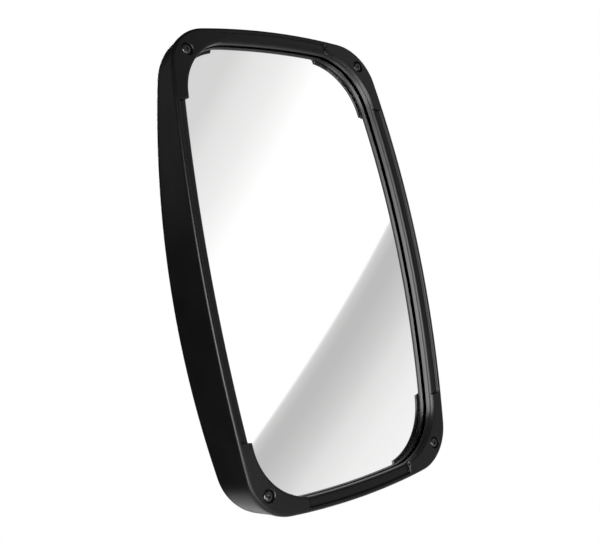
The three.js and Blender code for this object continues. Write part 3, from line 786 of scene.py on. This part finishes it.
def moulded_plastic(name, colour, roughness, grain, specular=0.5):
    """Black plastic: the fine grain of an eroded mould, and slow changes of sheen."""
    mat, shader = material(name, colour, roughness, specular=specular)
    bump(mat, shader, [(noise(mat, 1700, 3), grain, 0.00012), (noise(mat, 60, 2), 0.08, 0.0004)])
    vary(mat, shader, "Roughness", noise(mat, 14, 4), roughness - 0.04, roughness + 0.05)
    darker = tuple(c * 0.85 for c in colour)
    lighter = tuple(c * 1.25 for c in colour)
    tint(mat, shader, noise(mat, 40, 5), darker, lighter)
    return mat


def powder_coat():
    """Black powder coat with its orange peel."""
    mat, shader = material("black_powder_coat", (0.018, 0.018, 0.019), 0.42)
    bump(mat, shader, [(noise(mat, 420, 2), 0.35, 0.0002), (noise(mat, 2600, 2), 0.15, 0.00006)])
    vary(mat, shader, "Roughness", noise(mat, 30, 4), 0.36, 0.5)
    tint(mat, shader, noise(mat, 25, 4), (0.014, 0.014, 0.015), (0.024, 0.024, 0.026))
    return mat


def metal(name, low, high, roughness, scratches=0.12):
    """Metal with fine scratches and a slow change of tone."""
    mat, shader = material(name, high, roughness, metallic=1.0)
    bump(mat, shader, [(noise(mat, 900, 3, (1, 1, 6)), scratches, 0.00006)])
    vary(mat, shader, "Roughness", noise(mat, 160, 5), roughness - 0.08, roughness + 0.12)
    tint(mat, shader, noise(mat, 90, 4), low, high)
    return mat


def rubber():
    """Dull rubber with a trace of dust."""
    mat, shader = material("black_rubber", (0.014, 0.014, 0.014), 0.8, specular=0.3)
    bump(mat, shader, [(noise(mat, 1300, 4), 0.4, 0.0001)])
    vary(mat, shader, "Roughness", noise(mat, 80, 4), 0.7, 0.9)
    tint(mat, shader, noise(mat, 120, 4), (0.011, 0.011, 0.011), (0.022, 0.021, 0.02))
    return mat


def mirror_coating():
    """Silvered glass with a polish that is not quite even."""
    mat, shader = material("silvered_glass", (0.94, 0.937, 0.935), 0.015, metallic=1.0)
    vary(mat, shader, "Roughness", noise(mat, 22, 5), 0.008, 0.024)
    return mat


def heater_film():
    """Orange film with darker printed tracks."""
    mat, shader = material("heater_film", (0.42, 0.2, 0.06), 0.5)
    nodes, links = mat.node_tree.nodes, mat.node_tree.links
    wave = nodes.new("ShaderNodeTexWave")
    wave.inputs["Scale"].default_value = 60
    wave.inputs["Distortion"].default_value = 0.4
    coordinates = nodes.new("ShaderNodeTexCoord")
    links.new(coordinates.outputs["Object"], wave.inputs["Vector"])
    tint(mat, shader, wave.outputs["Fac"], (0.42, 0.2, 0.06), (0.1, 0.06, 0.03), 0.45, 0.55)
    vary(mat, shader, "Roughness", noise(mat, 120), 0.42, 0.6)
    return mat


# ---------------------------------------------------------------- stage

def place_camera():
    """Looks from the front left and a little below, as fitted to the outlines in the photo."""
    azimuth = math.radians(-39.522)
    elevation = math.radians(-5.603)
    roll = math.radians(10.861)
    distance = 0.73947
    target = Vector((-18.149, FRONT + 16.356, -10.874)) * MM
    back = Vector((
        math.sin(azimuth) * math.cos(elevation),
        -math.cos(azimuth) * math.cos(elevation),
        math.sin(elevation),
    ))
    camera = bpy.data.objects.new("camera", bpy.data.cameras.new("camera"))
    camera.data.sensor_width = 36
    camera.data.lens = 48.82
    camera.data.clip_start = 0.01
    aim = (-back).to_track_quat("-Z", "Y").to_matrix().to_4x4()
    place = Matrix.Translation(target + back * distance)
    camera.matrix_world = place @ aim @ Matrix.Rotation(-roll, 4, "Z")
    bpy.context.scene.collection.objects.link(camera)
    bpy.context.scene.camera = camera


def softbox(name, place, size, power):
    """A rectangular lamp in metres and watts that faces the object and is hidden from the camera."""
    target = Vector((0, -0.1, 0))
    light = bpy.data.lights.new(name, "AREA")
    light.shape = "RECTANGLE"
    light.size, light.size_y = size
    light.energy = power
    obj = bpy.data.objects.new(name, light)
    obj.location = place
    obj.rotation_mode = "QUATERNION"
    obj.rotation_quaternion = (target - Vector(place)).to_track_quat("-Z", "Y")
    obj.visible_camera = False
    bpy.context.scene.collection.objects.link(obj)


def plain_sheet(name, corners):
    """A flat stage piece from corners in metres."""
    mesh = bpy.data.meshes.new(name)
    mesh.from_pydata([tuple(c) for c in corners], [], [tuple(range(len(corners)))])
    obj = bpy.data.objects.new(name, mesh)
    bpy.context.scene.collection.objects.link(obj)
    return obj


def reflection_card():
    """A large glowing card to the front right, shaded from corner to corner, that the glass shows."""
    facing = Vector((0.6373, -0.766, 0.0849)).normalized()
    distance = 1.7
    centre = Vector((0, (FRONT + 16) * MM, 0)) + facing * distance
    across = Vector((0, 0, 1)).cross(facing).normalized()
    upward = facing.cross(across)
    half = 1.3
    signs = ((-1, -1), (1, -1), (1, 1), (-1, 1))
    corners = [centre + (across * u + upward * v) * half for u, v in signs]
    card = plain_sheet("reflection_card", corners)
    card.visible_camera = False
    mat = bpy.data.materials.new("card_gradient")
    mat.use_nodes = True
    nodes, links = mat.node_tree.nodes, mat.node_tree.links
    nodes.clear()
    output = nodes.new("ShaderNodeOutputMaterial")
    emission = nodes.new("ShaderNodeEmission")
    ramp = nodes.new("ShaderNodeValToRGB")
    coordinates = nodes.new("ShaderNodeTexCoord")
    # Distance up the card's diagonal, which leans 45 degrees.
    along = nodes.new("ShaderNodeVectorMath")
    along.operation = "DOT_PRODUCT"
    diagonal = (upward - across).normalized()
    along.inputs[1].default_value = diagonal
    span = nodes.new("ShaderNodeMapRange")
    reach = 1.2
    span.inputs["From Min"].default_value = centre.dot(diagonal) - reach
    span.inputs["From Max"].default_value = centre.dot(diagonal) + reach
    links.new(coordinates.outputs["Object"], along.inputs[0])
    links.new(along.outputs["Value"], span.inputs["Value"])
    links.new(span.outputs["Result"], ramp.inputs["Fac"])
    links.new(ramp.outputs["Color"], emission.inputs["Color"])
    links.new(emission.outputs["Emission"], output.inputs["Surface"])
    # Brightness at places along the diagonal, in metres from the card's middle.
    tones = [
        (-0.75, 0.96), (-0.59, 0.91), (-0.46, 0.79), (-0.41, 0.70), (-0.36, 0.63), (-0.32, 0.585),
        (-0.28, 0.545), (-0.235, 0.54), (-0.2, 0.63), (-0.188, 0.72), (-0.176, 1.12),
        (0.32, 1.12), (0.41, 1.0), (0.495, 0.9), (0.61, 0.82), (0.7, 0.71),
    ]
    stops = ramp.color_ramp.elements
    while len(stops) < len(tones):
        stops.new(0.5)
    for stop, (place, tone) in zip(stops, tones):
        stop.position = place / (2 * reach) + 0.5
        stop.color = (tone, tone, tone, 1)
    card.data.materials.append(mat)


def world():
    """White to the camera; dim grey to the object, so that its black plastic stays black."""
    place = bpy.data.worlds.new("studio")
    bpy.context.scene.world = place
    place.use_nodes = True
    nodes, links = place.node_tree.nodes, place.node_tree.links
    seen = nodes.new("ShaderNodeBackground")
    seen.inputs["Color"].default_value = (1, 1, 1, 1)
    lit = nodes["Background"]
    lit.inputs["Color"].default_value = (0.02, 0.02, 0.02, 1)
    path = nodes.new("ShaderNodeLightPath")
    mix = nodes.new("ShaderNodeMixShader")
    links.new(path.outputs["Is Camera Ray"], mix.inputs["Fac"])
    links.new(lit.outputs["Background"], mix.inputs[1])
    links.new(seen.outputs["Background"], mix.inputs[2])
    links.new(mix.outputs["Shader"], nodes["World Output"].inputs["Surface"])


def floor():
    """A pale round floor below the object, in metres."""
    height = -0.85
    radius = 1.3
    disc = plain_sheet("floor", [(radius * u, radius * v, height) for u, v in circle(64)])
    mat, shader = material("pale_floor", (0.85, 0.85, 0.85), 0.6)
    vary(mat, shader, "Roughness", noise(mat, 3), 0.55, 0.65)
    disc.data.materials.append(mat)


# ---------------------------------------------------------------- assembly

def stand_for(piece, node, body, look):
    """The piece takes the place of a CAD node on its body."""
    piece.data.materials.clear()
    piece.data.materials.append(look)
    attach(piece, body)
    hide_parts(node)


place_camera()
world()
floor()
reflection_card()
softbox("key_left", (-1.31, -1.04, -0.15), (1.0, 1.1), 100)
softbox("low_left", (-1.1, -1.0, -1.1), (0.9, 0.9), 45)
softbox("low_front", (-0.05, -1.4, -0.9), (0.9, 0.7), 30)
softbox("high_rear_left", (-1.0, 1.1, 0.9), (1.0, 1.0), 1)
softbox("rear_right", (1.3, 1.6, 0.6), (1.4, 1.4), 90)

PLASTIC = moulded_plastic("moulded_black_plastic", (0.0012, 0.0012, 0.0013), 0.32, 0.2, 0.13)
ZINC = metal("zinc_plate", (0.42, 0.43, 0.46), (0.66, 0.67, 0.68), 0.3)
BLACK_OXIDE = moulded_plastic("black_oxide", (0.003, 0.003, 0.0035), 0.22, 0.1, 0.3)
SILVERED = mirror_coating()
RUBBER = rubber()
LOOKS = {
    "moulded_black_plastic": PLASTIC,
    "mirror_glass": SILVERED,
    "heater_film": heater_film(),
    "rubber": RUBBER,
    "black_steel": powder_coat(),
    "black_screw_steel": BLACK_OXIDE,
    "zinc_steel": ZINC,
    "brass": metal("brass", (0.6, 0.4, 0.15), (0.75, 0.53, 0.22), 0.3),
    "bush_plastic": moulded_plastic("bush_acetal", (0.05, 0.05, 0.054), 0.38, 0.08),
}

for subpart in frame["record"]["subparts"]:
    obj = frame["nodes"][subpart["node"]]
    obj.data.materials.clear()
    obj.data.materials.append(LOOKS[subpart["material_slot"]])
    obj.data.shade_smooth()
    obj.data.set_sharp_from_angle(angle=math.radians(32))

for node in ("pivot_bracket", "clamp_block", "clamp_cap", "bush_front", "bush_rear"):
    edges = frame["nodes"][node].modifiers.new("soft_edges", "BEVEL")
    edges.width = 0.5 * MM
    edges.segments = 2
    edges.limit_method = "ANGLE"
    edges.angle_limit = math.radians(40)

stand_for(front_frame(), "front_frame", "head", PLASTIC)
stand_for(rear_housing(), "rear_housing", "head", PLASTIC)
stand_for(mirror_glass(), "mirror_glass", "head", SILVERED)
stand_for(glass_holder(), "glass_holder", "head", PLASTIC)
stand_for(cable_grommet(), "cable_grommet", "head", RUBBER)
for n in CORNERS:
    stand_for(frame_screw(n), f"frame_screw_{n}", "head", BLACK_OXIDE)
    # Across flats, head height, radius, pitch and length of thread; then across flats and bore radius.
    m6_bolt = hex_bolt(f"m6_bolt_{n}", f"bracket_bolt_{n}", 10, 4, 3, 1, 18)
    m6_nut = hex_nut(f"m6_nut_{n}", f"bracket_nut_{n}", 10, 3.1)
    m8_bolt = hex_bolt(f"m8_bolt_{n}", f"clamp_bolt_{n}", 13, 5.3, 3.9, 1.25, 20)
    m8_nut = hex_nut(f"m8_nut_{n}", f"clamp_nut_{n}", 13, 4)
    stand_for(m6_bolt, f"bracket_bolt_{n}", "head", ZINC)
    stand_for(m6_nut, f"bracket_nut_{n}", "head", ZINC)
    stand_for(m8_bolt, f"clamp_bolt_{n}", "knuckle", ZINC)
    stand_for(m8_nut, f"clamp_nut_{n}", "knuckle", ZINC)

bpy.context.scene.view_settings.view_transform = "Standard"
